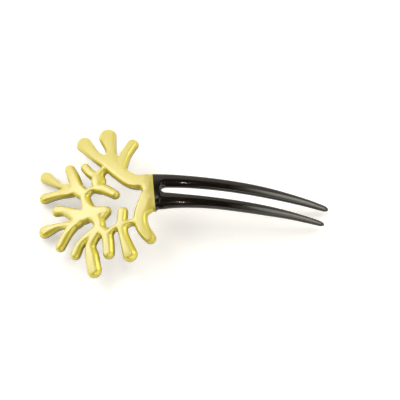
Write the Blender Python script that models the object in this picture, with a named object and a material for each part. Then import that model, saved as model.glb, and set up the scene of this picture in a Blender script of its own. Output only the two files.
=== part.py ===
"""A hair fork: a two-prong fork of black horn with a head carved as branching coral.

The whole fork is bowed like a shallow bridge, so that it follows a head of hair. It stands on its prong
tips and on the far lobes of the coral. X runs along the fork with the tips at +X, Y across it, Z up.
Units are metres. Far means towards +Y and near towards -Y.
"""

import math
from collections import namedtuple

import bmesh
import bpy
from mathutils import Matrix, Vector

# Driving sizes of the whole fork
BOW_RADIUS = 0.164  # radius of the arch along the fork
DOME_RADIUS = 0.180  # radius of the shallow dome across the coral
SUMMIT_TO_SEAM = 0.0145  # from the top of the arch to the seam, towards the coral

# Driving sizes of the horn
PRONG_LENGTH = 0.0870  # the far prong, from the crotch of the slot to its tip
TIP_STAGGER = 0.0020  # how much shorter the near prong is
PRONG_WIDTH = 0.0062
PRONG_THICKNESS = 0.0044
SLOT_WIDTH = 0.0048
SLOT_END_RADIUS = 0.0024
SHOULDER_LENGTH = 0.0037  # from the seam to the crotch of the slot
SHOULDER_FLARE = 0.0011  # how far the near edge spreads towards the seam
SEAM_SLANT = math.radians(9.5)  # the seam runs a little askew across the fork
SEAM_GAP = 0.0003  # clearance between the horn and the coral

# Driving sizes of the coral
HEAD_LENGTH = 0.064  # from the seam to the ends of the far lobes
HEAD_WIDTH = 0.086
LIMB_WIDTH = 0.0080
LIMB_THICKNESS = 0.0056
NECK_LENGTH = 0.0030

SECTION_POWER = 2.6  # 2 is an ellipse, more is squarer
THIN_LIMB_SHARE = 0.55  # how much of LIMB_THICKNESS the narrowest limb would keep
THICKEST_GIRTH = 1.1  # limbs wider than this get no thicker

# How finely the shapes are cut
HALF_RING = 8  # faces over half of a prong's section
SHOULDER_STEPS = 6
SLOT_END_STEPS = 4
PRONG_STEPS = 22
TIP_STEPS = 6
KNUCKLE_TURNS = 14  # points round one joint of the coral
KNUCKLE_RINGS = (0.0, 0.45, 0.75, 0.93, 1.0)  # shares of the joint's radius
CARVING_GRAIN = 0.0007  # size of the cells that fuse the limbs
SOFTENING_ROUNDS = 5
KEPT_FACES = 0.22  # share of the fused faces that are kept

# The block that trims the coral's neck to the seam
CUTTER_DEPTH = 0.012
CUTTER_SPREAD = 2.8  # its width, as a share of the shoulder's

# Each row is a place along a prong, as a share of its length from the crotch. The slot is a share of
# SLOT_WIDTH, the widths are shares of PRONG_WIDTH, and crown and belly, the heights above and below the
# middle of the horn, are shares of half of PRONG_THICKNESS.
Station = namedtuple("Station", "along slot far_width near_width crown belly")
PRONG = (
    Station(0.00, 0.72, 1.20, 1.48, 1.06, 1.06),
    Station(0.07, 0.82, 1.14, 1.30, 1.02, 1.02),
    Station(0.14, 0.93, 1.07, 1.15, 0.98, 0.98),
    Station(0.24, 1.00, 1.00, 1.02, 0.94, 0.94),
    Station(0.36, 1.04, 0.97, 0.94, 0.90, 0.90),
    Station(0.50, 1.05, 0.95, 0.90, 0.85, 0.85),
    Station(0.64, 1.07, 0.90, 0.82, 0.80, 0.80),
    Station(0.78, 1.16, 0.77, 0.67, 0.74, 0.74),
    Station(0.88, 1.27, 0.67, 0.55, 0.66, 0.70),
    Station(0.95, 1.36, 0.56, 0.45, 0.52, 0.66),
    Station(1.00, 1.50, 0.40, 0.32, 0.40, 0.60),
)
TIP_SHARE = 0.06  # the share of a prong's length over which its end rounds off

# The coral's limbs run from joint to joint. Along is a share of HEAD_LENGTH from the seam, across is a
# share of HEAD_WIDTH from the fork's middle line, girth is a share of LIMB_WIDTH, and crest is the power
# of the section: 2 is round, less has a ridge along the limb, more is flatter on top. Lean is how far the
# ridge stands off the middle of the limb towards +X, as a share of half the limb's width.
Joint = namedtuple("Joint", "name along across girth crest lean")
JOINTS = (
    Joint("neck_far", 0.070, 0.050, 1.10, 2.8, 0.00),
    Joint("arm_far", 0.180, 0.055, 1.05, 2.8, 0.00),
    Joint("elbow_far", 0.305, 0.123, 1.01, 2.8, 0.00),
    Joint("palm_far", 0.382, 0.186, 1.04, 2.8, 0.10),
    Joint("thumb_base", 0.512, 0.252, 0.69, 2.6, 0.20),
    Joint("thumb_tip", 0.630, 0.365, 1.04, 2.6, 0.30),
    Joint("finger_base", 0.392, 0.280, 0.66, 2.6, 0.20),
    Joint("finger_tip", 0.437, 0.410, 1.17, 2.6, 0.30),
    Joint("web", 0.344, 0.224, 0.56, 2.4, 0.00),
    Joint("little_base", 0.270, 0.245, 0.71, 2.6, -0.20),
    Joint("little_tip", 0.220, 0.335, 0.77, 2.6, -0.20),
    Joint("spur_tip", 0.595, 0.180, 0.62, 2.0, 0.20),
    Joint("spur_base", 0.540, 0.130, 0.64, 2.0, 0.20),
    Joint("knot_far", 0.475, 0.105, 0.72, 2.0, 0.00),
    Joint("link_mid", 0.433, 0.148, 0.50, 2.0, 0.00),
    Joint("link_far", 0.400, 0.170, 0.60, 2.2, 0.00),
    Joint("knot", 0.460, 0.062, 0.90, 1.9, 0.00),
    Joint("knot_low", 0.448, 0.014, 0.68, 1.9, 0.00),
    Joint("hook_base", 0.405, 0.010, 0.76, 1.9, 0.00),
    Joint("hook_tip", 0.310, -0.032, 0.62, 1.9, 0.00),
    Joint("bough_root", 0.569, -0.014, 0.82, 2.0, 0.00),
    Joint("link_near", 0.510, 0.008, 0.38, 2.0, 0.00),
    Joint("bough_mid", 0.630, 0.022, 0.90, 2.0, 0.00),
    Joint("bough", 0.685, 0.010, 0.70, 2.0, 0.00),
    Joint("twig_base", 0.680, 0.112, 0.82, 2.0, 0.00),
    Joint("twig_tip", 0.725, 0.180, 0.70, 2.0, 0.00),
    Joint("first_root", 0.725, 0.045, 0.60, 2.0, 0.00),
    Joint("first_base", 0.790, 0.066, 0.43, 2.0, 0.00),
    Joint("first_tip", 0.930, 0.155, 0.83, 2.0, 0.00),
    Joint("second_base", 0.797, 0.005, 0.61, 2.0, 0.00),
    Joint("second_tip", 0.905, -0.002, 0.79, 2.0, 0.00),
    Joint("isthmus", 0.543, -0.062, 0.67, 1.9, 0.00),
    Joint("trunk", 0.487, -0.150, 1.03, 2.0, 0.00),
    Joint("nub", 0.365, -0.140, 0.64, 2.0, 0.00),
    Joint("side", 0.571, -0.168, 1.10, 2.0, 0.00),
    Joint("third_base", 0.697, -0.120, 0.69, 2.0, 0.00),
    Joint("third_tip", 0.778, -0.108, 0.76, 2.0, 0.00),
    Joint("branch", 0.617, -0.216, 0.74, 1.8, 0.00),
    Joint("fourth_base", 0.728, -0.211, 0.47, 1.8, 0.00),
    Joint("fourth_tip", 0.858, -0.234, 0.90, 1.8, 0.00),
    Joint("fifth_base", 0.664, -0.271, 0.66, 1.8, 0.20),
    Joint("fifth_tip", 0.711, -0.341, 0.66, 1.8, 0.20),
    Joint("trunk_near", 0.422, -0.200, 0.80, 1.8, 0.00),
    Joint("fan_root", 0.405, -0.255, 0.75, 1.8, 0.00),
    Joint("sixth_base", 0.457, -0.354, 0.64, 1.8, 0.20),
    Joint("sixth_mid", 0.438, -0.420, 0.84, 1.8, 0.30),
    Joint("sixth_tip", 0.408, -0.498, 1.01, 1.8, 0.30),
    Joint("side_twig_base", 0.530, -0.330, 0.57, 1.8, 0.20),
    Joint("side_twig_tip", 0.576, -0.404, 0.68, 1.8, 0.20),
    Joint("seventh_base", 0.335, -0.298, 0.78, 1.8, 0.10),
    Joint("seventh_tip", 0.306, -0.400, 0.83, 1.8, 0.15),
    Joint("bridge_left", 0.288, -0.258, 0.42, 2.0, 0.00),
    Joint("column_top", 0.230, -0.150, 0.70, 1.8, 0.00),
    Joint("column", 0.223, -0.238, 0.70, 1.8, 0.00),
    Joint("column_near", 0.198, -0.307, 0.67, 1.8, 0.15),
    Joint("column_tip", 0.137, -0.406, 1.03, 1.8, 0.25),
    Joint("bridge_right", 0.156, -0.220, 0.46, 2.0, 0.00),
    Joint("neck_near", 0.050, -0.063, 0.98, 2.4, 0.00),
    Joint("arm_near", 0.081, -0.146, 0.94, 2.0, 0.00),
    Joint("elbow_near", 0.080, -0.207, 0.92, 1.8, 0.20),
    Joint("heel", 0.046, -0.267, 0.88, 1.8, 0.25),
    Joint("heel_tip", -0.010, -0.312, 0.76, 1.8, 0.25),
)
LIMBS = (
    ("neck_far", "arm_far", "elbow_far", "palm_far", "thumb_base", "thumb_tip"),
    ("palm_far", "finger_base", "finger_tip"),
    ("palm_far", "web"),
    ("elbow_far", "little_base", "little_tip"),
    ("palm_far", "link_far", "link_mid", "knot_far", "spur_base", "spur_tip"),
    ("knot_far", "knot", "knot_low", "hook_base", "hook_tip"),
    ("knot_low", "link_near", "bough_root", "bough_mid", "bough"),
    ("bough_mid", "twig_base", "twig_tip"),
    ("bough", "first_root", "first_base", "first_tip"),
    ("bough", "second_base", "second_tip"),
    ("bough_root", "isthmus", "trunk", "nub"),
    ("trunk", "side", "third_base", "third_tip"),
    ("side", "branch", "fourth_base", "fourth_tip"),
    ("branch", "fifth_base", "fifth_tip"),
    ("trunk", "trunk_near", "fan_root", "sixth_base", "sixth_mid", "sixth_tip"),
    ("fan_root", "side_twig_base", "side_twig_tip"),
    ("fan_root", "seventh_base", "seventh_tip"),
    ("seventh_base", "bridge_left", "column", "bridge_right", "elbow_near"),
    ("column_top", "column", "column_near", "column_tip"),
    ("neck_near", "arm_near", "elbow_near", "heel", "heel_tip"),
)

SEAM_X = -SUMMIT_TO_SEAM
CROTCH_X = SEAM_X + SHOULDER_LENGTH


def clear_scene():
    for obj in list(bpy.data.objects):
        bpy.data.objects.remove(obj, do_unlink=True)


def finish_material(name, color, roughness):
    material = bpy.data.materials.new(name)
    material.use_nodes = True
    shader = material.node_tree.nodes["Principled BSDF"]
    shader.inputs["Base Color"].default_value = (*color, 1.0)
    shader.inputs["Roughness"].default_value = roughness
    shader.inputs["Metallic"].default_value = 0.0
    material.diffuse_color = (*color, 1.0)
    return material


def on_bow(x, y, lift):
    """A place in the flat plan, raised by lift, carried onto the arch and the dome."""
    turn = math.asin(x / BOW_RADIUS)
    height = BOW_RADIUS * (math.cos(turn) - 1) - y * y / (2 * DOME_RADIUS)
    normal = Vector((math.sin(turn), y / DOME_RADIUS, math.cos(turn))).normalized()
    return Vector((x, y, height)) + normal * lift


def smooth_between(rows, at):
    """The columns of a table at a place between its rows, on a smooth curve through them."""
    last = len(rows) - 1
    below = max(i for i, row in enumerate(rows) if row[0] <= max(at, rows[0][0]))
    below = min(below, last - 1)
    four = [rows[min(max(below + step, 0), last)] for step in (-1, 0, 1, 2)]
    share = (at - four[1][0]) / (four[2][0] - four[1][0])
    values = []
    for before, start, end, after in zip(*four):
        second = 2 * before - 5 * start + 4 * end - after
        third = 3 * (start - end) + after - before
        values.append(start + 0.5 * share * (end - before + share * (second + share * third)))
    return Station(*values)


def rounded(share, power=SECTION_POWER):
    """How much of the full height is left at a share of the way out to a rounded edge."""
    return max(0.0, 1 - abs(share) ** power) ** (1 / power)


def seam_x(y):
    return SEAM_X - y * math.tan(SEAM_SLANT)


def prong_length(side):
    return PRONG_LENGTH if side > 0 else PRONG_LENGTH - TIP_STAGGER


def prong_edges(side, beyond):
    """Inner edge, outer edge, crown and belly of one prong at a distance beyond the crotch."""
    at = min(max(beyond / prong_length(side), 0.0), 1.0)
    row = smooth_between(PRONG, at)
    width = PRONG_WIDTH * (row.far_width if side > 0 else row.near_width)
    inner = SLOT_WIDTH * row.slot / 2
    outer = inner + width
    end = rounded(max(0.0, at - 1 + TIP_SHARE) / TIP_SHARE, 2.0)
    middle = (inner + outer) / 2
    inner = middle + (inner - middle) * end
    outer = middle + (outer - middle) * end
    crown = PRONG_THICKNESS / 2 * row.crown * end
    belly = PRONG_THICKNESS / 2 * row.belly * end
    if beyond < SLOT_END_RADIUS:
        inner *= rounded(1 - max(beyond, 0.0) / SLOT_END_RADIUS, 2.0)
    return inner, outer, crown, belly


def prong_stations(length):
    """Distances beyond the crotch, closer together at the rounded end of the slot and at the tip."""
    quarter = math.pi / 2
    tip = length * TIP_SHARE
    straight = length - tip - SLOT_END_RADIUS
    places = [SLOT_END_RADIUS * (1 - math.cos(quarter * i / SLOT_END_STEPS)) for i in range(SLOT_END_STEPS)]
    places += [SLOT_END_RADIUS + straight * i / PRONG_STEPS for i in range(PRONG_STEPS)]
    places += [length - tip + tip * math.sin(quarter * i / TIP_STEPS) for i in range(TIP_STEPS + 1)]
    return places


def section_point(side, face, share, inner, outer, crown, belly, roll=1.0):
    """Across and lift at a share of the half turn from the outer edge (0) to the inner edge (1).

    A roll of 1 rounds the inner edge down to the middle of the horn, and 0 keeps it at full height."""
    turn = math.pi * share
    reach = math.cos(turn)
    reach = math.copysign(abs(reach) ** (2 / SECTION_POWER), reach)
    across = (outer + inner) / 2 + (outer - inner) / 2 * reach
    height = math.sin(turn) ** (2 / SECTION_POWER) if 0 < share < 1 else 0.0
    if share > 0.5:
        height = 1 + (height - 1) * roll
    lift = height * (crown if face > 0 else -belly)
    return side * across, lift


def horn_rows(side, face):
    """Rows of points over one face of one half of the fork, from the seam to the tip."""
    rows = []
    edges = prong_edges(side, 0.0)
    flare = SHOULDER_FLARE if side < 0 else 0.0
    for step in range(SHOULDER_STEPS):
        back = 1 - math.sin(math.pi / 2 * step / SHOULDER_STEPS)
        roll_length = min(edges[2], SHOULDER_LENGTH)
        before = back * SHOULDER_LENGTH
        roll = 1 - rounded(1 - min(before / roll_length, 1.0))
        row = []
        for k in range(HALF_RING + 1):
            share = k / HALF_RING
            outer = edges[1] + flare * back**2
            across, lift = section_point(side, face, share, 0.0, outer, edges[2], edges[3], roll)
            start = seam_x(across) + SEAM_GAP
            row.append(on_bow(CROTCH_X + (start - CROTCH_X) * back, across, lift))
        rows.append(row)
    for beyond in prong_stations(prong_length(side)):
        inner, outer, crown, belly = prong_edges(side, beyond)
        row = []
        for k in range(HALF_RING + 1):
            across, lift = section_point(side, face, k / HALF_RING, inner, outer, crown, belly)
            row.append(on_bow(CROTCH_X + beyond, across, lift))
        rows.append(row)
    return rows


def add_sheet(bm, rows):
    grid = [[bm.verts.new(point) for point in row] for row in rows]
    for near, far in zip(grid, grid[1:]):
        for k in range(len(near) - 1):
            bm.faces.new((near[k], near[k + 1], far[k + 1], far[k]))


def make_object(name, bm, material):
    mesh = bpy.data.meshes.new(name)
    bm.to_mesh(mesh)
    bm.free()
    obj = bpy.data.objects.new(name, mesh)
    bpy.context.collection.objects.link(obj)
    mesh.materials.append(material)
    mesh.shade_smooth()
    return obj


def make_horn_fork():
    bm = bmesh.new()
    for side in (1, -1):
        for face in (1, -1):
            add_sheet(bm, horn_rows(side, face))
    bmesh.ops.remove_doubles(bm, verts=bm.verts, dist=1e-6)
    bmesh.ops.dissolve_degenerate(bm, edges=bm.edges, dist=1e-7)
    rim = [edge for edge in bm.edges if edge.is_boundary]
    bmesh.ops.holes_fill(bm, edges=rim, sides=0)
    bmesh.ops.recalc_face_normals(bm, faces=bm.faces)
    return make_object("horn_fork", bm, finish_material("black_horn", (0.012, 0.011, 0.010), 0.18))


def knuckle(joint):
    """Points of one squashed ball, in the flat plan."""
    center_x = SEAM_X - joint.along * HEAD_LENGTH
    center_y = joint.across * HEAD_WIDTH
    radius = joint.girth * LIMB_WIDTH / 2
    girth = min(joint.girth, THICKEST_GIRTH)
    half = LIMB_THICKNESS / 2 * (THIN_LIMB_SHARE + (1 - THIN_LIMB_SHARE) * girth)
    points = []
    for k in range(KNUCKLE_TURNS):
        turn = 2 * math.pi * k / KNUCKLE_TURNS
        for share in KNUCKLE_RINGS:
            x = center_x + radius * (share * math.cos(turn) + joint.lean * (1 - share))
            y = center_y + radius * share * math.sin(turn)
            points.append((x, y, half * rounded(share, joint.crest)))
            points.append((x, y, -half * rounded(share)))
    return points


def neck_slab(back):
    """Points round the horn's own section, set a distance back from the seam into the coral."""
    points = []
    for side in (1, -1):
        inner, outer, crown, belly = prong_edges(side, 0.0)
        if side < 0:
            outer += SHOULDER_FLARE
        for face in (1, -1):
            for k in range(HALF_RING + 1):
                across, lift = section_point(side, face, k / HALF_RING, 0.0, outer, crown, belly, 0.0)
                points.append((seam_x(across) - back, across, lift))
    return points


def add_hull(bm, points):
    """One closed shape stretched over the points, once they are carried onto the bow."""
    verts = [bm.verts.new(on_bow(*point)) for point in points]
    result = bmesh.ops.convex_hull(bm, input=verts)
    spare = set(result["geom_interior"]) | set(result["geom_unused"])
    bmesh.ops.delete(bm, geom=[v for v in spare if isinstance(v, bmesh.types.BMVert)], context="VERTS")


def make_seam_cutter():
    """A block that trims the neck of the coral to the flat seam."""
    bm = bmesh.new()
    bmesh.ops.create_cube(bm, size=1.0)
    wide = CUTTER_SPREAD * (2 * PRONG_WIDTH + SLOT_WIDTH)
    block = Matrix.Diagonal((CUTTER_DEPTH, wide, CUTTER_DEPTH, 1.0))
    bmesh.ops.transform(bm, matrix=block, verts=bm.verts)
    cutter = make_object("seam_cutter", bm, finish_material("guide", (0.5, 0.5, 0.5), 0.5))
    lean = math.asin(SEAM_X / BOW_RADIUS)
    turned = Matrix.Rotation(lean, 4, "Y") @ Matrix.Rotation(SEAM_SLANT, 4, "Z")
    half_in = Matrix.Translation((CUTTER_DEPTH / 2, 0, 0))
    cutter.matrix_world = Matrix.Translation(on_bow(SEAM_X, 0, 0)) @ turned @ half_in
    cutter.hide_render = True
    cutter.display_type = "WIRE"
    return cutter


def make_coral_head(cutter):
    joints = {joint.name: joint for joint in JOINTS}
    bm = bmesh.new()
    for limb in LIMBS:
        for start, end in zip(limb, limb[1:]):
            add_hull(bm, knuckle(joints[start]) + knuckle(joints[end]))
    add_hull(bm, neck_slab(-NECK_LENGTH) + neck_slab(NECK_LENGTH))
    for name in ("neck_far", "neck_near", "arm_near"):
        add_hull(bm, neck_slab(NECK_LENGTH / 2) + knuckle(joints[name]))
    bmesh.ops.recalc_face_normals(bm, faces=bm.faces)
    head = make_object("coral_head", bm, finish_material("gold_lacquer", (0.80, 0.70, 0.22), 0.32))
    fuse = head.modifiers.new("fuse_limbs", "REMESH")
    fuse.mode = "VOXEL"
    fuse.voxel_size = CARVING_GRAIN
    soften = head.modifiers.new("soften", "SMOOTH")
    soften.factor = 0.5
    soften.iterations = SOFTENING_ROUNDS
    thin = head.modifiers.new("fewer_faces", "DECIMATE")
    thin.ratio = KEPT_FACES
    trim = head.modifiers.new("flat_seam", "BOOLEAN")
    trim.operation = "DIFFERENCE"
    trim.object = cutter
    return head


def stand_on_floor(pieces):
    """Parents the pieces to an empty and sets the middle of their box, at its foot, on the origin."""
    bpy.context.view_layer.update()
    graph = bpy.context.evaluated_depsgraph_get()
    corners = []
    for piece in pieces:
        shown = piece.evaluated_get(graph)
        mesh = shown.to_mesh()
        corners += [shown.matrix_world @ vertex.co for vertex in mesh.vertices]
        shown.to_mesh_clear()
    low = Vector([min(corner[axis] for corner in corners) for axis in range(3)])
    high = Vector([max(corner[axis] for corner in corners) for axis in range(3)])
    root = bpy.data.objects.new("hair_fork", None)
    bpy.context.collection.objects.link(root)
    root.location = (-(low.x + high.x) / 2, -(low.y + high.y) / 2, -low.z)
    return root


def main():
    clear_scene()
    cutter = make_seam_cutter()
    horn = make_horn_fork()
    head = make_coral_head(cutter)
    root = stand_on_floor([horn, head])
    for piece in (horn, head, cutter):
        piece.parent = root


main()
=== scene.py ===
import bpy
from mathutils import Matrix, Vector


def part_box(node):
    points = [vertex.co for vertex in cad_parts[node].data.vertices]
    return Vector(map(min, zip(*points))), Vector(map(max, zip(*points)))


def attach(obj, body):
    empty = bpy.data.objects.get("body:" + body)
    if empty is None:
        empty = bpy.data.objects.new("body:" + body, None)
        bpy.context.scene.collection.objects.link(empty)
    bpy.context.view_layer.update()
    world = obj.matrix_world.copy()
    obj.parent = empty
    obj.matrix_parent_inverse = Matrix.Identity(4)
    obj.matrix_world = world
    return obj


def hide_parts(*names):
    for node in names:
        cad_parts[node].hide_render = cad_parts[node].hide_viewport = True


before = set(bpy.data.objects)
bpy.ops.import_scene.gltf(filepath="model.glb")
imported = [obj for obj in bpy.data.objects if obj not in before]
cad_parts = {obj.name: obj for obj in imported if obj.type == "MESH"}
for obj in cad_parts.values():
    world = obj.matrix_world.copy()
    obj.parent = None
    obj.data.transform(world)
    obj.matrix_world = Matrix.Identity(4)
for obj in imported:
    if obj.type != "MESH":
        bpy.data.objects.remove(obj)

"""Dresses the hair fork: fine carved coral in pale gold lacquer, polished black horn, floor and light.

X runs along the fork with the prong tips at +X, Y across it, Z up, in metres. Far means towards +Y and
near towards -Y. The plan is flat, and on_bow carries it onto the arch and the dome, as in the source.
"""

import math
from collections import namedtuple

import bmesh
import bpy
from bpy.props import FloatProperty, FloatVectorProperty, PointerProperty, StringProperty
from mathutils import Matrix, Vector

bl_info = {
    "name": "Coral Hair Fork",
    "version": (1, 0, 0),
    "blender": (4, 5, 0),
    "location": "3D View > Sidebar > Hair Fork",
    "description": "Builds a black horn hair fork with a carved coral head on its packed frame",
    "category": "Object",
}

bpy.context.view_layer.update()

# Each row is a place along a prong, as a share of its length from the crotch. The slot is a share of the
# slot's width, the widths are shares of a prong's width, and crown and belly, the heights above and below
# the middle of the horn, are shares of half of its thickness. Power is that of the section: 2 is an
# ellipse, and more is squarer.
Station = namedtuple("Station", "along slot far_width near_width crown belly power")
PRONG = (
    Station(0.00, 0.68, 1.21, 1.54, 1.06, 1.06, 2.5),
    Station(0.07, 0.77, 1.17, 1.36, 1.02, 1.02, 2.5),
    Station(0.14, 0.88, 1.11, 1.20, 0.98, 0.98, 2.5),
    Station(0.24, 0.95, 1.07, 1.07, 0.94, 0.94, 2.5),
    Station(0.36, 0.99, 1.03, 0.99, 0.90, 0.90, 2.5),
    Station(0.50, 1.00, 1.00, 0.95, 0.85, 0.85, 2.5),
    Station(0.64, 1.02, 0.94, 0.87, 0.80, 0.80, 2.4),
    Station(0.78, 1.11, 0.80, 0.71, 0.74, 0.74, 2.3),
    Station(0.88, 1.23, 0.69, 0.59, 0.66, 0.70, 2.2),
    Station(0.95, 1.32, 0.58, 0.49, 0.55, 0.66, 2.2),
    Station(1.00, 1.42, 0.50, 0.40, 0.46, 0.60, 2.2),
)
TIP_SHARE = 0.03  # the share of a prong's length over which its end rounds off

# The coral's limbs run from joint to joint. Along is a share of the head's length from the seam, across
# is a share of its width from the middle line, girth is a share of the limb width, and flat is how much of
# the top is flat before it is bevelled down to the edge. Lean is how far the flat stands off the middle of
# the limb towards +X, as a share of half the limb's width.
Joint = namedtuple("Joint", "name along across girth flat lean")
JOINTS = (
    Joint("neck_far", 0.070, 0.050, 1.10, 0.70, 0.00),
    Joint("arm_far", 0.180, 0.055, 1.05, 0.70, 0.00),
    Joint("elbow_far", 0.305, 0.123, 1.01, 0.65, 0.00),
    Joint("palm_far", 0.382, 0.186, 1.12, 0.70, 0.00),
    Joint("thumb_base", 0.512, 0.252, 0.76, 0.60, 0.10),
    Joint("thumb_tip", 0.640, 0.371, 1.09, 0.60, 0.20),
    Joint("finger_base", 0.392, 0.280, 0.74, 0.55, 0.15),
    Joint("finger_tip", 0.447, 0.416, 1.24, 0.55, 0.20),
    Joint("web", 0.344, 0.224, 0.56, 0.70, 0.00),
    Joint("little_base", 0.270, 0.245, 0.79, 0.50, -0.10),
    Joint("little_tip", 0.220, 0.335, 0.80, 0.55, -0.20),
    Joint("spur_tip", 0.595, 0.180, 0.62, 0.50, 0.10),
    Joint("spur_base", 0.540, 0.130, 0.64, 0.50, 0.00),
    Joint("knot_far", 0.475, 0.105, 0.72, 0.35, -0.45),
    Joint("link_mid", 0.433, 0.148, 0.50, 0.30, 0.00),
    Joint("link_far", 0.400, 0.170, 0.60, 0.40, 0.00),
    Joint("knot", 0.460, 0.062, 0.98, 0.35, -0.60),
    Joint("knot_low", 0.448, 0.014, 0.68, 0.30, -0.50),
    Joint("hook_base", 0.405, 0.010, 0.76, 0.35, -0.30),
    Joint("hook_tip", 0.310, -0.032, 0.62, 0.40, -0.20),
    Joint("bough_root", 0.569, -0.014, 0.82, 0.50, 0.00),
    Joint("link_near", 0.510, 0.008, 0.38, 0.30, 0.00),
    Joint("bough_mid", 0.630, 0.022, 0.90, 0.65, 0.00),
    Joint("bough", 0.685, 0.010, 0.70, 0.65, 0.00),
    Joint("twig_base", 0.680, 0.112, 0.82, 0.50, -0.10),
    Joint("twig_tip", 0.725, 0.180, 0.70, 0.50, -0.10),
    Joint("first_root", 0.725, 0.045, 0.60, 0.50, 0.00),
    Joint("first_base", 0.790, 0.066, 0.43, 0.40, 0.00),
    Joint("first_tip", 0.930, 0.155, 0.83, 0.45, 0.00),
    Joint("second_base", 0.797, 0.005, 0.61, 0.50, 0.00),
    Joint("second_tip", 0.905, -0.002, 0.79, 0.40, 0.00),
    Joint("isthmus", 0.543, -0.062, 0.67, 0.35, -0.60),
    Joint("trunk", 0.487, -0.150, 1.03, 0.70, 0.00),
    Joint("nub", 0.365, -0.140, 0.64, 0.50, -0.10),
    Joint("nub_low", 0.380, -0.176, 0.48, 0.35, -0.15),
    Joint("side", 0.571, -0.168, 1.10, 0.65, 0.00),
    Joint("third_base", 0.697, -0.120, 0.69, 0.50, 0.00),
    Joint("third_tip", 0.778, -0.108, 0.76, 0.50, 0.00),
    Joint("branch", 0.617, -0.216, 0.74, 0.55, 0.00),
    Joint("fourth_base", 0.728, -0.211, 0.47, 0.40, 0.00),
    Joint("fourth_tip", 0.858, -0.234, 0.90, 0.45, 0.00),
    Joint("fifth_base", 0.664, -0.271, 0.66, 0.35, -0.35),
    Joint("fifth_tip", 0.711, -0.346, 0.66, 0.35, -0.25),
    Joint("trunk_near", 0.422, -0.200, 0.80, 0.50, -0.35),
    Joint("fan_root", 0.405, -0.255, 0.75, 0.45, -0.35),
    Joint("sixth_base", 0.457, -0.354, 0.64, 0.35, -0.50),
    Joint("sixth_mid", 0.438, -0.420, 0.88, 0.45, -0.45),
    Joint("sixth_tip", 0.408, -0.507, 0.92, 0.50, -0.35),
    Joint("side_twig_base", 0.530, -0.330, 0.57, 0.35, -0.40),
    Joint("side_twig_tip", 0.576, -0.404, 0.68, 0.40, -0.35),
    Joint("seventh_base", 0.335, -0.298, 0.78, 0.40, -0.45),
    Joint("seventh_tip", 0.306, -0.406, 0.77, 0.45, -0.35),
    Joint("bridge_left", 0.288, -0.258, 0.42, 0.30, 0.00),
    Joint("column_top", 0.230, -0.150, 0.70, 0.50, -0.20),
    Joint("column", 0.223, -0.238, 0.70, 0.45, -0.45),
    Joint("column_near", 0.198, -0.307, 0.67, 0.35, -0.50),
    Joint("column_tip", 0.137, -0.415, 0.97, 0.45, -0.35),
    Joint("bridge_right", 0.156, -0.220, 0.46, 0.30, 0.00),
    Joint("neck_near", 0.050, -0.063, 0.98, 0.70, 0.00),
    Joint("arm_near", 0.081, -0.146, 0.94, 0.60, 0.00),
    Joint("elbow_near", 0.080, -0.207, 0.92, 0.55, -0.30),
    Joint("heel", 0.046, -0.267, 0.88, 0.45, -0.40),
    Joint("heel_tip", -0.012, -0.317, 0.76, 0.45, -0.30),
)
LIMBS = (
    ("neck_far", "arm_far", "elbow_far", "palm_far", "thumb_base", "thumb_tip"),
    ("palm_far", "finger_base", "finger_tip"),
    ("palm_far", "web"),
    ("elbow_far", "little_base", "little_tip"),
    ("palm_far", "link_far", "link_mid", "knot_far", "spur_base", "spur_tip"),
    ("knot_far", "knot", "knot_low", "hook_base", "hook_tip"),
    ("knot_low", "link_near", "bough_root", "bough_mid", "bough"),
    ("bough_mid", "twig_base", "twig_tip"),
    ("bough", "first_root", "first_base", "first_tip"),
    ("bough", "second_base", "second_tip"),
    ("bough_root", "isthmus", "trunk", "nub", "nub_low"),
    ("trunk", "side", "third_base", "third_tip"),
    ("side", "branch", "fourth_base", "fourth_tip"),
    ("branch", "fifth_base", "fifth_tip"),
    ("trunk", "trunk_near", "fan_root", "sixth_base", "sixth_mid", "sixth_tip"),
    ("fan_root", "side_twig_base", "side_twig_tip"),
    ("fan_root", "seventh_base", "seventh_tip"),
    ("seventh_base", "bridge_left", "column", "bridge_right", "elbow_near"),
    ("column_top", "column", "column_near", "column_tip"),
    ("neck_near", "arm_near", "elbow_near", "heel", "heel_tip"),
)

BELLY_POWER = 2.2  # of the underside of a limb: 2 is a quarter circle, more is squarer
BEVEL_POWER = 1.35  # of the bevel round a limb's flat top: 1 is straight, 2 is a quarter circle
THIN_LIMB_SHARE = 0.7  # how much of the limb thickness the narrowest limb would keep
THICKEST_GIRTH = 1.1  # limbs wider than this get no thicker

# How finely the shapes are cut
HALF_RING = 24  # faces over half of a prong's section
SHOULDER_STEPS = 14
SLOT_END_STEPS = 10
PRONG_STEPS = 90
TIP_STEPS = 14
MERGE_DISTANCE = 1e-6  # the horn's four sheets are joined where their points lie this close
SLIVER = 1e-7  # edges of the horn shorter than this are taken out
LIMB_STEPS = 3  # shapes between one joint of a limb and the next
KNUCKLE_TURNS = 28  # points round one joint of the coral
KNUCKLE_RINGS = (0.0, 0.15, 0.3, 0.45, 0.6, 0.75, 0.87, 0.95, 1.0)  # shares of the joint's radius
SANDING = 0.5  # how strongly each round of sanding softens the coral
SANDING_ROUNDS = 7
SHARP_ANGLE = math.radians(60)  # faces that meet at more than this keep a crisp edge

# The block that trims the coral's neck to the seam
CUTTER_DEPTH = 0.012
CUTTER_SPREAD = 5.0  # its width, as a share of a prong's width

# The lacquer. Flatness is 1 on a surface along the bow and 0 on a wall, as bow_flatness gives it. The
# lacquer's colour is ramped over flatness: a painted highlight on the flat tops and painted shade down the
# walls.
LACQUER_IOR = 2.10  # a thick lacquer full of metal powder mirrors more than a clear one
COAT_ROUGHNESS = 0.22
LOW_GOLD_FLATNESS = 0.40
BEVEL_GOLD_FLATNESS = 0.80
TOP_GOLD_FLATNESS = 0.95
BARE_FLATNESS = 0.84  # the gold is fully bare from here down
COLLAR_SHADE_SHARE = 0.6  # how much of the shaded low gold is painted over the collar, as painted shade
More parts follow.
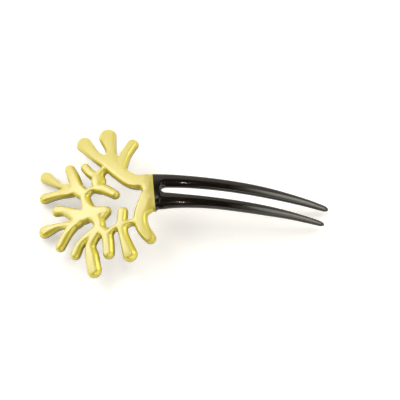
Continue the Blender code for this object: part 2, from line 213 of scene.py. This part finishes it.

# The horn
HORN_IOR = 1.54  # that of keratin
STREAK_LENGTH = 0.012  # of the streaks of its grain, along the prongs
STREAK_WIDTH = 0.0007
STREAK_DETAIL = 3.0
HORN_SHADE = 0.45  # the grain's noise up to this is plain horn
STREAK_SHADE = 0.75  # and from this it is a full streak
# A greenish grey highlight is painted on the tops of the prongs towards their tips, as a painted reflection
# of the light, and the horn is rougher there too
TIP_HIGHLIGHT_FROM = 0.024  # the painted highlight starts this far along the fork
TIP_HIGHLIGHT_FULL = 0.068  # and is full from here to the tips
TIP_HIGHLIGHT_LEAN = 0.27  # it is strongest a little to the near side of the middle of the tops
TIP_HIGHLIGHT_EDGE = 0.960  # the flatness at which it starts
TIP_HIGHLIGHT_TOP = 0.990  # and the flatness at which it is full

# Where the Mix node keeps its colours: their names are also those of its other sockets
MIX_BODY = 6
MIX_OVER = 7
MIX_RESULT = 2

# The floor
FLOOR_HALF = 3.0  # half of its width
FLOOR_ROUGHNESS = 0.9
FLOOR_SPECULAR = 0.1

# The room
DARK_MIDDLE = (0.0, -0.5, 0.866)  # the direction of the middle of its dark side, over the near edge
DARK_REACH = math.radians(65)  # how far the dark side spreads round that direction
DARK_BLUR = math.radians(3)  # how far it fades to either side of its rim

# Soft panels round the fork: where each stands, as azimuth and elevation in degrees and distance in
# metres, its width and height in metres, its power in watts and its colour.
Panel = namedtuple("Panel", "name azimuth elevation distance width height power code")
PANELS = (
    Panel("left_panel", 156, 49, 0.80, 0.54, 0.56, 2.9, "#FFFDF8"),
    Panel("side_panel", 208, 34, 0.80, 0.40, 0.35, 1.2, "#FFFDF8"),
    Panel("fill_panel", 312, 28, 1.10, 1.40, 0.60, 5.0, "#FFFFFF"),
    Panel("right_panel", 24, 42, 0.80, 0.40, 0.46, 1.6, "#FFFFFF"),
    Panel("lamp", 95, 87, 0.80, 0.016, 0.012, 0.18, "#FFFFFF"),
)

SENSOR_WIDTH = 36.0  # in millimetres
FAR_CLIP = 20.0  # how far the camera sees


def length(name, text, size):
    return FloatProperty(
        name=name, description=text, default=size, min=0.0, unit="LENGTH", subtype="DISTANCE"
    )


def share(name, text, size):
    return FloatProperty(name=name, description=text, default=size, min=0.0, max=1.0, subtype="FACTOR")


def angle(name, text, degrees):
    return FloatProperty(name=name, description=text, default=math.radians(degrees), subtype="ANGLE")


def strength(name, text, size):
    return FloatProperty(name=name, description=text, default=size, min=0.0)


def colour(name, text, code):
    return StringProperty(name=name, description=text + ", as an sRGB hex value", default=code)


class ForkSizes(bpy.types.PropertyGroup):
    bow_radius: length("Bow Radius", "Radius of the arch along the fork", 0.164)
    dome_radius: length("Dome Radius", "Radius of the shallow dome across the coral", 0.180)
    summit_to_seam: length("Summit to Seam", "From the top of the arch to the seam", 0.0145)
    seam_slant: angle("Seam Slant", "How far the seam turns from straight across", 9.5)
    seam_gap: length("Seam Gap", "The glue line between the horn and the coral", 0.00005)
    prong_length: length("Prong Length", "The far prong, from the crotch of the slot to its tip", 0.0870)
    tip_stagger: length("Tip Stagger", "How much shorter the near prong is", 0.0020)
    prong_width: length("Prong Width", "Width of one prong at a quarter of its length", 0.0062)
    prong_thickness: length("Prong Thickness", "Thickness of the horn at the shoulder", 0.0044)
    slot_width: length("Slot Width", "Width of the slot between the prongs", 0.0048)
    slot_end: length("Slot End", "Length of the slot's rounded end", 0.0024)
    slot_edge: length("Slot Edge", "Radius of the edge round the slot's closed end", 0.0011)
    shoulder: length("Shoulder", "From the seam to the crotch of the slot", 0.0037)
    flare: length("Flare", "How far the near edge spreads towards the seam", 0.0014)
    head_length: length("Head Length", "From the seam to the ends of the far lobes", 0.064)
    head_width: length("Head Width", "Width of the coral across the fork", 0.086)
    limb_width: length("Limb Width", "Width of a limb of the coral", 0.0080)
    limb_thickness: length("Limb Thickness", "Thickness of a full limb of the coral", 0.0056)
    neck: length("Neck", "How far the horn's section runs into the coral", 0.0030)
    # The collar is a band of painted shade on the lacquer next to the seam
    shaded_collar: length("Collar", "The shaded band of lacquer next to the seam", 0.0050)
    grain: length("Carving Grain", "Size of the cells that fuse the limbs", 0.00034)


class FinishSettings(bpy.types.PropertyGroup):
    # The top gold is a painted highlight, and the low and wall golds are painted shade, set by how each
    # face is turned
    lit_top_gold: colour("Top Gold", "The lacquer on the flat tops of the limbs", "#E0D04E")
    gold_bevel: colour("Bevel Gold", "The lacquer on the bevels", "#E6D622")
    shaded_low_gold: colour("Low Gold", "The lacquer near the foot of the bevels", "#BFAC12")
    shaded_wall_gold: colour("Wall Gold", "The lacquer down the walls of the limbs", "#5E5308")
    horn: colour("Horn", "Body of the black horn", "#120C07")
    horn_streak: colour("Horn Streak", "The paler streaks of its grain", "#241C14")
    # The tip colour is a painted highlight on the tops of the prong tips
    horn_tip_highlight: colour("Horn Tip", "The rubbed tops of the horn tips", "#6E6E5E")
    bare_gold: share("Bare Gold", "How metallic the bevels and walls are", 0.55)
    lacquer_roughness: share("Lacquer Roughness", "Roughness of the lacquer", 0.40)
    horn_roughness: share("Horn Roughness", "Roughness of the polished horn", 0.09)
    tip_roughness: share("Tip Roughness", "Roughness of the rubbed tips", 0.28)


class StageSettings(bpy.types.PropertyGroup):
    floor: colour("Floor", "The plain floor", "#F4F4F2")
    elevation: angle("Camera Elevation", "Angle of the camera above the floor", 60.0)
    turn: angle("Camera Turn", "Turn of the camera about the upright", 4.2)
    distance: length("Camera Distance", "From the camera to its target", 0.578)
    target: FloatVectorProperty(
        name="Camera Target",
        description="Place that the camera looks at",
        default=(0.00958, 0.00545, 0.010),
        subtype="TRANSLATION",
        unit="LENGTH",
    )
    lens: FloatProperty(
        name="Lens", description="Focal length in millimetres", default=100.0, unit="CAMERA"
    )
    glow_colour: colour("Glow Colour", "Colour of the light that the floor gives off itself", "#FFFAF2")
    glow: strength("Floor Glow", "Strength of the light that the floor gives off itself", 0.38)
    room_colour: colour("Room Colour", "The pale walls of the room", "#FFF9F1")
    room: strength("Room Light", "Strength of the light from the pale walls", 0.86)
    dark: strength("Dark Side", "Strength that is missing on the room's dark side", 0.82)


class HairForkSettings(bpy.types.PropertyGroup):
    sizes: PointerProperty(type=ForkSizes)
    finish: PointerProperty(type=FinishSettings)
    stage: PointerProperty(type=StageSettings)


def linear(code):
    """An sRGB hex value as linear colour with an alpha of 1."""
    values = [int(code[i : i + 2], 16) / 255 for i in (1, 3, 5)]
    return [v / 12.92 if v <= 0.04045 else ((v + 0.055) / 1.055) ** 2.4 for v in values] + [1.0]


def add_node(material, kind, settings=None, values=None, links=None):
    """Adds one node. Settings are its attributes, values its sockets, links socket names to outputs."""
    node = material.node_tree.nodes.new(kind)
    for name, value in (settings or {}).items():
        setattr(node, name, value)
    for name, value in (values or {}).items():
        node.inputs[name].default_value = value
    for name, output in (links or {}).items():
        material.node_tree.links.new(output, node.inputs[name])
    return node


def new_material(name):
    material = bpy.data.materials.new(name)
    material.use_nodes = True
    return material, material.node_tree.nodes["Principled BSDF"]


def bow_flatness(material, sizes, lean=0.0):
    """1 where a surface lies along the bow of the fork, less where it is bevelled, and 0 on its walls.

    Lean moves the place that counts as flat towards -Y, as the tangent of an angle."""
    summit = place_on_frame(sizes).translation
    curve = (1 / sizes.bow_radius, 1 / sizes.dome_radius, 0.0)
    geometry = add_node(material, "ShaderNodeNewGeometry")
    place = add_node(material, "ShaderNodeTexCoord")
    leaning = add_node(
        material,
        "ShaderNodeVectorMath",
        settings={"operation": "MULTIPLY_ADD"},
        values={1: curve, 2: (-summit.x * curve[0], -summit.y * curve[1] - lean, 1.0)},
        links={0: place.outputs["Object"]},
    )
    outward = add_node(
        material,
        "ShaderNodeVectorMath",
        settings={"operation": "NORMALIZE"},
        links={0: leaning.outputs["Vector"]},
    )
    match = add_node(
        material,
        "ShaderNodeVectorMath",
        settings={"operation": "DOT_PRODUCT"},
        links={0: outward.outputs["Vector"], 1: geometry.outputs["Normal"]},
    )
    return match.outputs["Value"]


def pale_gold_lacquer(finish, sizes):
    """Gold powder lacquer brushed on carved horn, under a clear coat.

    To the eye it is a soft deep yellow with a creamy sheen where it faces the light. Its colour is painted
    paler on the flat tops, as a painted highlight, and dark olive down the walls, as painted shade."""
    material, shader = new_material("pale_gold_lacquer")
    shader.inputs["Roughness"].default_value = finish.lacquer_roughness
    shader.inputs["IOR"].default_value = LACQUER_IOR
    shader.inputs["Coat Weight"].default_value = 1.0
    shader.inputs["Coat Roughness"].default_value = COAT_ROUGHNESS
    flatness = bow_flatness(material, sizes)
    # Painted by how each face is turned: pale on the flat tops as a painted highlight, deep gold on the
    # bevels, and dark olive down the walls as painted shade
    body = add_node(material, "ShaderNodeValToRGB", links={"Fac": flatness})
    shades = body.color_ramp.elements
    shades[0].color = linear(finish.shaded_wall_gold)
    shades[1].position = TOP_GOLD_FLATNESS
    shades[1].color = linear(finish.lit_top_gold)
    shades.new(LOW_GOLD_FLATNESS).color = linear(finish.shaded_low_gold)
    shades.new(BEVEL_GOLD_FLATNESS).color = linear(finish.gold_bevel)
    # The collar next to the seam is painted towards the low gold, greener and darker, as painted shade on
    # the neck
    place = add_node(material, "ShaderNodeTexCoord")
    from_middle = add_node(
        material,
        "ShaderNodeVectorMath",
        settings={"operation": "DOT_PRODUCT"},
        values={1: (1.0, math.tan(sizes.seam_slant), 0.0)},
        links={0: place.outputs["Object"]},
    )
    seam = place_on_frame(sizes).translation.x - sizes.summit_to_seam
    shaded_collar = add_node(
        material,
        "ShaderNodeMapRange",
        settings={"interpolation_type": "SMOOTHSTEP"},
        values={
            "From Min": seam - sizes.shaded_collar,
            "From Max": seam - sizes.shaded_collar / 2,
            "To Max": COLLAR_SHADE_SHARE,
        },
        links={"Value": from_middle.outputs["Value"]},
    )
    blend = add_node(
        material,
        "ShaderNodeMix",
        settings={"data_type": "RGBA"},
        values={MIX_OVER: linear(finish.shaded_low_gold)},
        links={"Factor": shaded_collar.outputs["Result"], MIX_BODY: body.outputs["Color"]},
    )
    material.node_tree.links.new(blend.outputs[MIX_RESULT], shader.inputs["Base Color"])
    # The bare gold powder of the bevels and walls mirrors in gold, and the flat tops, painted pale, mirror
    # in white
    bare = add_node(
        material,
        "ShaderNodeMapRange",
        values={"From Min": TOP_GOLD_FLATNESS, "From Max": BARE_FLATNESS, "To Max": finish.bare_gold},
        links={"Value": flatness},
    )
    material.node_tree.links.new(bare.outputs["Result"], shader.inputs["Metallic"])
    return material


def polished_black_horn(finish, sizes):
    """Black buffalo horn, buffed to a gloss.

    To the eye it is near black and mirrors the room, with a greenish grey highlight painted along the top
    of its tips, which are also rougher."""
    material, shader = new_material("polished_black_horn")
    shader.inputs["IOR"].default_value = HORN_IOR
    place = add_node(material, "ShaderNodeTexCoord")
    stretched = add_node(
        material,
        "ShaderNodeMapping",
        values={"Scale": (1 / STREAK_LENGTH, 1 / STREAK_WIDTH, 1 / STREAK_WIDTH)},
        links={"Vector": place.outputs["Object"]},
    )
    grain = add_node(
        material,
        "ShaderNodeTexNoise",
        values={"Scale": 1.0, "Detail": STREAK_DETAIL},
        links={"Vector": stretched.outputs[0]},
    )
    body = add_node(material, "ShaderNodeValToRGB", links={"Fac": grain.outputs["Fac"]})
    plain, streak = body.color_ramp.elements
    plain.position = HORN_SHADE
    plain.color = linear(finish.horn)
    streak.position = STREAK_SHADE
    streak.color = linear(finish.horn_streak)
    # The painted highlight starts in the middle of the prongs and is strongest at their tips
    along = add_node(material, "ShaderNodeSeparateXYZ", links={0: place.outputs["Object"]})
    tip = add_node(
        material,
        "ShaderNodeMapRange",
        values={"From Min": TIP_HIGHLIGHT_FROM, "From Max": TIP_HIGHLIGHT_FULL},
        links={"Value": along.outputs["X"]},
    )
    # It reaches only the top of the section, and the sides stay black
    top = add_node(
        material,
        "ShaderNodeMapRange",
        settings={"interpolation_type": "SMOOTHSTEP"},
        values={"From Min": TIP_HIGHLIGHT_EDGE, "From Max": TIP_HIGHLIGHT_TOP},
        links={"Value": bow_flatness(material, sizes, TIP_HIGHLIGHT_LEAN)},
    )
    highlit = add_node(
        material,
        "ShaderNodeMath",
        settings={"operation": "MULTIPLY"},
        links={0: tip.outputs["Result"], 1: top.outputs["Result"]},
    )
    blend = add_node(
        material,
        "ShaderNodeMix",
        settings={"data_type": "RGBA"},
        values={MIX_OVER: linear(finish.horn_tip_highlight)},
        links={"Factor": highlit.outputs[0], MIX_BODY: body.outputs["Color"]},
    )
    material.node_tree.links.new(blend.outputs[MIX_RESULT], shader.inputs["Base Color"])
    # The horn is also rougher under the painted highlight
    highlight_roughness = add_node(
        material,
        "ShaderNodeMapRange",
        values={"To Min": finish.horn_roughness, "To Max": finish.tip_roughness},
        links={"Value": highlit.outputs[0]},
    )
    material.node_tree.links.new(highlight_roughness.outputs["Result"], shader.inputs["Roughness"])
    return material


def white_floor(stage):
    """Matt white acrylic sheet, lit a little from below. To the eye its shadows stay pale."""
    material, shader = new_material("white_floor")
    shader.inputs["Base Color"].default_value = linear(stage.floor)
    shader.inputs["Roughness"].default_value = FLOOR_ROUGHNESS
    shader.inputs["Specular IOR Level"].default_value = FLOOR_SPECULAR
    shader.inputs["Emission Color"].default_value = linear(stage.glow_colour)
    shader.inputs["Emission Strength"].default_value = stage.glow
    return material


def pale_room(stage):
    """A pale room whose ceiling and near side are dark, as the horn mirrors them."""
    world = bpy.data.worlds.new("room")
    world.use_nodes = True
    background = world.node_tree.nodes["Background"]
    background.inputs["Color"].default_value = linear(stage.room_colour)
    direction = add_node(world, "ShaderNodeTexCoord")
    nearness = add_node(
        world,
        "ShaderNodeVectorMath",
        settings={"operation": "DOT_PRODUCT"},
        values={1: DARK_MIDDLE},
        links={0: direction.outputs["Generated"]},
    )
    patch = add_node(
        world,
        "ShaderNodeMapRange",
        settings={"interpolation_type": "SMOOTHSTEP"},
        values={"From Min": math.cos(DARK_REACH + DARK_BLUR), "From Max": math.cos(DARK_REACH - DARK_BLUR)},
        links={"Value": nearness.outputs["Value"]},
    )
    light = add_node(
        world,
        "ShaderNodeMath",
        settings={"operation": "MULTIPLY_ADD"},
        values={1: -stage.dark, 2: stage.room},
        links={0: patch.outputs["Result"]},
    )
    world.node_tree.links.new(light.outputs[0], background.inputs["Strength"])
    return world


def on_bow(sizes, x, y, lift):
    """A place in the flat plan, raised by lift, carried onto the arch and the dome."""
    turn = math.asin(x / sizes.bow_radius)
    height = sizes.bow_radius * (math.cos(turn) - 1) - y * y / (2 * sizes.dome_radius)
    normal = Vector((math.sin(turn), y / sizes.dome_radius, math.cos(turn))).normalized()
    return Vector((x, y, height)) + normal * lift


def smooth_between(rows, at):
    """The columns of a table at a place between its rows, on a smooth curve through them."""
    last = len(rows) - 1
    below = max(i for i, row in enumerate(rows) if row[0] <= max(at, rows[0][0]))
    below = min(below, last - 1)
    four = [rows[min(max(below + step, 0), last)] for step in (-1, 0, 1, 2)]
    part = (at - four[1][0]) / (four[2][0] - four[1][0])
    values = []
    for before, start, end, after in zip(*four):
        second = 2 * before - 5 * start + 4 * end - after
        third = 3 * (start - end) + after - before
        values.append(start + 0.5 * part * (end - before + part * (second + part * third)))
    return values


def rounded(part, power=2.0):
    """How much of the full height is left at a share of the way out to a rounded edge."""
    return max(0.0, 1 - abs(part) ** power) ** (1 / power)


def seam_x(sizes, y):
    return -sizes.summit_to_seam - y * math.tan(sizes.seam_slant)


def prong_reach(sizes, side):
    return sizes.prong_length if side > 0 else sizes.prong_length - sizes.tip_stagger


def prong_edges(sizes, side, beyond):
    """One prong's section at a distance beyond the crotch: inner edge, outer edge, crown, belly, power."""
    at = min(max(beyond / prong_reach(sizes, side), 0.0), 1.0)
    row = Station(*smooth_between(PRONG, at))
    inner = sizes.slot_width * row.slot / 2
    outer = inner + sizes.prong_width * (row.far_width if side > 0 else row.near_width)
    end = rounded(max(0.0, at - 1 + TIP_SHARE) / TIP_SHARE)
    middle = (inner + outer) / 2
    inner = middle + (inner - middle) * end
    outer = middle + (outer - middle) * end
    crown = sizes.prong_thickness / 2 * row.crown * end
    belly = sizes.prong_thickness / 2 * row.belly * end
    if beyond < sizes.slot_end:
        inner *= rounded(1 - max(beyond, 0.0) / sizes.slot_end)
    return inner, outer, crown, belly, row.power


def prong_stations(sizes, reach):
    """Distances beyond the crotch, closer together at the rounded end of the slot and at the tip."""
    quarter = math.pi / 2
    tip = reach * TIP_SHARE
    straight = reach - tip - sizes.slot_end
    places = [sizes.slot_end * (1 - math.cos(quarter * i / SLOT_END_STEPS)) for i in range(SLOT_END_STEPS)]
    places += [sizes.slot_end + straight * i / PRONG_STEPS for i in range(PRONG_STEPS)]
    places += [reach - tip + tip * math.sin(quarter * i / TIP_STEPS) for i in range(TIP_STEPS + 1)]
    return places


def section_point(side, face, part, inner, outer, crown, belly, power, roll=1.0):
    """Across and lift at a share of the half turn from the outer edge (0) to the inner edge (1).

    A roll of 1 rounds the inner edge down to the middle of the horn, and 0 keeps it at full height."""
    turn = math.pi * part
    reach = math.cos(turn)
    reach = math.copysign(abs(reach) ** (2 / power), reach)
    across = (outer + inner) / 2 + (outer - inner) / 2 * reach
    height = math.sin(turn) ** (2 / power) if 0 < part < 1 else 0.0
    if part > 0.5:
        height = 1 + (height - 1) * roll
    return side * across, height * (crown if face > 0 else -belly)


def horn_rows(sizes, side, face):
    """Rows of points over one face of one half of the fork, from the seam to the tip."""
    rows = []
    crotch = sizes.shoulder - sizes.summit_to_seam
    edges = prong_edges(sizes, side, 0.0)
    flare = sizes.flare if side < 0 else 0.0
    for step in range(SHOULDER_STEPS):
        back = 1 - math.sin(math.pi / 2 * step / SHOULDER_STEPS)
        roll = 1 - rounded(1 - min(back * sizes.shoulder / sizes.slot_edge, 1.0))
        outer = edges[1] + flare * back**2
        row = []
        for k in range(HALF_RING + 1):
            across, lift = section_point(side, face, k / HALF_RING, 0.0, outer, *edges[2:], roll)
            start = seam_x(sizes, across) + sizes.seam_gap
            row.append(on_bow(sizes, crotch + (start - crotch) * back, across, lift))
        rows.append(row)
    for beyond in prong_stations(sizes, prong_reach(sizes, side)):
        edges = prong_edges(sizes, side, beyond)
        row = []
        for k in range(HALF_RING + 1):
            across, lift = section_point(side, face, k / HALF_RING, *edges)
            row.append(on_bow(sizes, crotch + beyond, across, lift))
        rows.append(row)
    return rows


def place_on_frame(sizes):
    """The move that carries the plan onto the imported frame: the horn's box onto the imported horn's."""
    points = []
    for side in (1, -1):
        for face in (1, -1):
            points += [point for row in horn_rows(sizes, side, face) for point in row]
    low = Vector([min(point[axis] for point in points) for axis in range(3)])
    high = Vector([max(point[axis] for point in points) for axis in range(3)])
    cad_low, cad_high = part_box("horn_fork")
    return Matrix.Translation((Vector(cad_low) + Vector(cad_high) - low - high) / 2)


def shade_skin(mesh):
    """Shades a mesh smooth, except along its crisp edges."""
    mesh.shade_smooth()
    mesh.set_sharp_from_angle(angle=SHARP_ANGLE)


def make_piece(name, bm, material, node):
    """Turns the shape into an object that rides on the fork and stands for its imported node."""
    mesh = bpy.data.meshes.new(name)
    bm.to_mesh(mesh)
    bm.free()
    piece = bpy.data.objects.new(name, mesh)
    bpy.context.scene.collection.objects.link(piece)
    mesh.materials.append(material)
    shade_skin(mesh)
    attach(piece, "root")
    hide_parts(node)
    return piece


def add_sheet(bm, rows):
    grid = [[bm.verts.new(point) for point in row] for row in rows]
    for near, far in zip(grid, grid[1:]):
        for k in range(len(near) - 1):
            bm.faces.new((near[k], near[k + 1], far[k + 1], far[k]))


def carve_horn(sizes):
    bm = bmesh.new()
    for side in (1, -1):
        for face in (1, -1):
            add_sheet(bm, horn_rows(sizes, side, face))
    bmesh.ops.remove_doubles(bm, verts=bm.verts, dist=MERGE_DISTANCE)
    bmesh.ops.dissolve_degenerate(bm, edges=bm.edges, dist=SLIVER)
    rim = [edge for edge in bm.edges if edge.is_boundary]
    bmesh.ops.holes_fill(bm, edges=rim, sides=0)
    bmesh.ops.recalc_face_normals(bm, faces=bm.faces)
    bm.transform(place_on_frame(sizes))
    return bm


def knuckle(sizes, joint):
    """Points of one squashed ball, in the flat plan."""
    center_x = -sizes.summit_to_seam - joint.along * sizes.head_length
    center_y = joint.across * sizes.head_width
    radius = joint.girth * sizes.limb_width / 2
    girth = min(joint.girth, THICKEST_GIRTH)
    half = sizes.limb_thickness / 2 * (THIN_LIMB_SHARE + (1 - THIN_LIMB_SHARE) * girth)
    points = []
    for k in range(KNUCKLE_TURNS):
        turn = 2 * math.pi * k / KNUCKLE_TURNS
        for part in KNUCKLE_RINGS:
            x = center_x + radius * (part * math.cos(turn) + joint.lean * (1 - part))
            y = center_y + radius * part * math.sin(turn)
            bevel = max(0.0, part - joint.flat) / (1 - joint.flat)
            points.append((x, y, half * rounded(bevel, BEVEL_POWER)))
            points.append((x, y, -half * rounded(part, BELLY_POWER)))
    return points


def neck_slab(sizes, back):
    """Points round the horn's own section, set a distance back from the seam into the coral."""
    points = []
    for side in (1, -1):
        outer, *section = prong_edges(sizes, side, 0.0)[1:]
        if side < 0:
            outer += sizes.flare
        for face in (1, -1):
            for k in range(HALF_RING + 1):
                across, lift = section_point(side, face, k / HALF_RING, 0.0, outer, *section, 0.0)
                points.append((seam_x(sizes, across) - back, across, lift))
    return points


def add_hull(bm, sizes, points):
    """One closed shape stretched over the points, once they are carried onto the bow."""
    verts = [bm.verts.new(on_bow(sizes, *point)) for point in points]
    result = bmesh.ops.convex_hull(bm, input=verts)
    spare = set(result["geom_interior"]) | set(result["geom_unused"])
    bmesh.ops.delete(bm, geom=[v for v in spare if isinstance(v, bmesh.types.BMVert)], context="VERTS")


def curve_limb(joints, limb):
    """The joints of one limb with more between them, on a smooth curve through them."""
    rows = [(place, *joints[name][1:]) for place, name in enumerate(limb)]
    places = [step / LIMB_STEPS for step in range(LIMB_STEPS * (len(rows) - 1) + 1)]
    return [Joint(limb[0], *smooth_between(rows, place)[1:]) for place in places]


def stretch_limbs(sizes):
    """The coral's limbs as overlapping closed shapes, on the frame."""
    joints = {joint.name: joint for joint in JOINTS}
    bm = bmesh.new()
    for limb in LIMBS:
        curve = curve_limb(joints, limb)
        for start, end in zip(curve, curve[1:]):
            add_hull(bm, sizes, knuckle(sizes, start) + knuckle(sizes, end))
    add_hull(bm, sizes, neck_slab(sizes, -sizes.neck) + neck_slab(sizes, sizes.neck))
    for name in ("neck_far", "neck_near", "arm_near"):
        add_hull(bm, sizes, neck_slab(sizes, sizes.neck / 2) + knuckle(sizes, joints[name]))
    bmesh.ops.recalc_face_normals(bm, faces=bm.faces)
    bm.transform(place_on_frame(sizes))
    return bm


def seam_cutter(sizes):
    """A block that trims the neck of the coral to the flat seam."""
    bm = bmesh.new()
    bmesh.ops.create_cube(bm, size=1.0)
    block = (CUTTER_DEPTH, CUTTER_SPREAD * sizes.prong_width, CUTTER_DEPTH, 1.0)
    bm.transform(Matrix.Diagonal(block))
    seam = -sizes.summit_to_seam
    lean = math.asin(seam / sizes.bow_radius)
    turned = Matrix.Rotation(lean, 4, "Y") @ Matrix.Rotation(sizes.seam_slant, 4, "Z")
    half_in = Matrix.Translation((CUTTER_DEPTH / 2, 0, 0))
    bm.transform(place_on_frame(sizes) @ Matrix.Translation(on_bow(sizes, seam, 0, 0)) @ turned @ half_in)
    mesh = bpy.data.meshes.new("seam_cutter")
    bm.to_mesh(mesh)
    bm.free()
    cutter = bpy.data.objects.new("seam_cutter", mesh)
    bpy.context.scene.collection.objects.link(cutter)
    return cutter


def fuse(piece, sizes, cutter):
    """Makes one skin of the limbs, softens it as sanding would, and trims the neck flat."""
    skin = piece.modifiers.new("fuse", "REMESH")
    skin.mode = "VOXEL"
    skin.voxel_size = sizes.grain
    skin.use_smooth_shade = True
    soften = piece.modifiers.new("soften", "SMOOTH")
    soften.factor = SANDING
    soften.iterations = SANDING_ROUNDS
    trim = piece.modifiers.new("flat_seam", "BOOLEAN")
    trim.operation = "DIFFERENCE"
    trim.object = cutter
    bpy.context.view_layer.update()
    shown = piece.evaluated_get(bpy.context.evaluated_depsgraph_get())
    mesh = bpy.data.meshes.new_from_object(shown)
    piece.modifiers.clear()
    piece.data = mesh
    shade_skin(mesh)
    bpy.data.objects.remove(cutter)


class HAIRFORK_OT_horn(bpy.types.Operator):
    """Carves the two-prong fork of black horn"""

    bl_idname = "hairfork.horn"
    bl_label = "Horn Fork"

    def execute(self, context):
        settings = context.scene.hair_fork
        bm = carve_horn(settings.sizes)
        horn = polished_black_horn(settings.finish, settings.sizes)
        make_piece("polished_horn", bm, horn, "horn_fork")
        return {"FINISHED"}


class HAIRFORK_OT_coral(bpy.types.Operator):
    """Carves the coral head in pale gold lacquer"""

    bl_idname = "hairfork.coral"
    bl_label = "Coral Head"

    def execute(self, context):
        settings = context.scene.hair_fork
        bm = stretch_limbs(settings.sizes)
        lacquer = pale_gold_lacquer(settings.finish, settings.sizes)
        head = make_piece("carved_coral", bm, lacquer, "coral_head")
        fuse(head, settings.sizes, seam_cutter(settings.sizes))
        return {"FINISHED"}


class HAIRFORK_OT_stage(bpy.types.Operator):
    """Sets the floor, the soft light and the camera"""

    bl_idname = "hairfork.stage"
    bl_label = "Stage"

    def execute(self, context):
        stage = context.scene.hair_fork.stage
        bm = bmesh.new()
        bmesh.ops.create_grid(bm, x_segments=1, y_segments=1, size=FLOOR_HALF)
        mesh = bpy.data.meshes.new("floor")
        bm.to_mesh(mesh)
        bm.free()
        floor = bpy.data.objects.new("floor", mesh)
        context.scene.collection.objects.link(floor)
        mesh.materials.append(white_floor(stage))

        for panel in PANELS:
            light = bpy.data.lights.new(panel.name, "AREA")
            light.shape = "RECTANGLE"
            light.size = panel.width
            light.size_y = panel.height
            light.energy = panel.power
            light.color = linear(panel.code)[:3]
            lamp = bpy.data.objects.new(panel.name, light)
            context.scene.collection.objects.link(lamp)
            around = math.radians(panel.azimuth)
            up = math.radians(panel.elevation)
            away = Vector((math.cos(around) * math.cos(up), math.sin(around) * math.cos(up), math.sin(up)))
            lamp.location = away * panel.distance
            lamp.rotation_euler = (-away).to_track_quat("-Z", "Y").to_euler()

        context.scene.world = pale_room(stage)
        context.scene.view_settings.view_transform = "Standard"

        camera = bpy.data.objects.new("camera", bpy.data.cameras.new("camera"))
        context.scene.collection.objects.link(camera)
        camera.data.lens = stage.lens
        camera.data.sensor_width = SENSOR_WIDTH
        camera.data.clip_end = FAR_CLIP
        camera.rotation_euler = (math.pi / 2 - stage.elevation, 0.0, stage.turn)
        forward = camera.rotation_euler.to_matrix() @ Vector((0, 0, -1))
        camera.location = Vector(stage.target) - forward * stage.distance
        context.scene.camera = camera
        return {"FINISHED"}


class HAIRFORK_PT_panel(bpy.types.Panel):
    """Lists the pieces of the fork and their settings"""

    bl_idname = "HAIRFORK_PT_panel"
    bl_label = "Hair Fork"
    bl_space_type = "VIEW_3D"
    bl_region_type = "UI"
    bl_category = "Hair Fork"

    def draw(self, context):
        settings = context.scene.hair_fork
        for operator in OPERATORS:
            self.layout.operator(operator.bl_idname)
        for group in (settings.sizes, settings.finish, settings.stage):
            box = self.layout.box()
            for name in group.__annotations__:
                box.prop(group, name)


OPERATORS = (HAIRFORK_OT_horn, HAIRFORK_OT_coral, HAIRFORK_OT_stage)
CLASSES = (ForkSizes, FinishSettings, StageSettings, HairForkSettings, *OPERATORS, HAIRFORK_PT_panel)


def register():
    for cls in CLASSES:
        bpy.utils.register_class(cls)
    bpy.types.Scene.hair_fork = PointerProperty(type=HairForkSettings)


def unregister():
    del bpy.types.Scene.hair_fork
    for cls in reversed(CLASSES):
        bpy.utils.unregister_class(cls)


def main():
    register()
    bpy.ops.hairfork.horn()
    bpy.ops.hairfork.coral()
    bpy.ops.hairfork.stage()


if __name__ == "__main__":
    main()
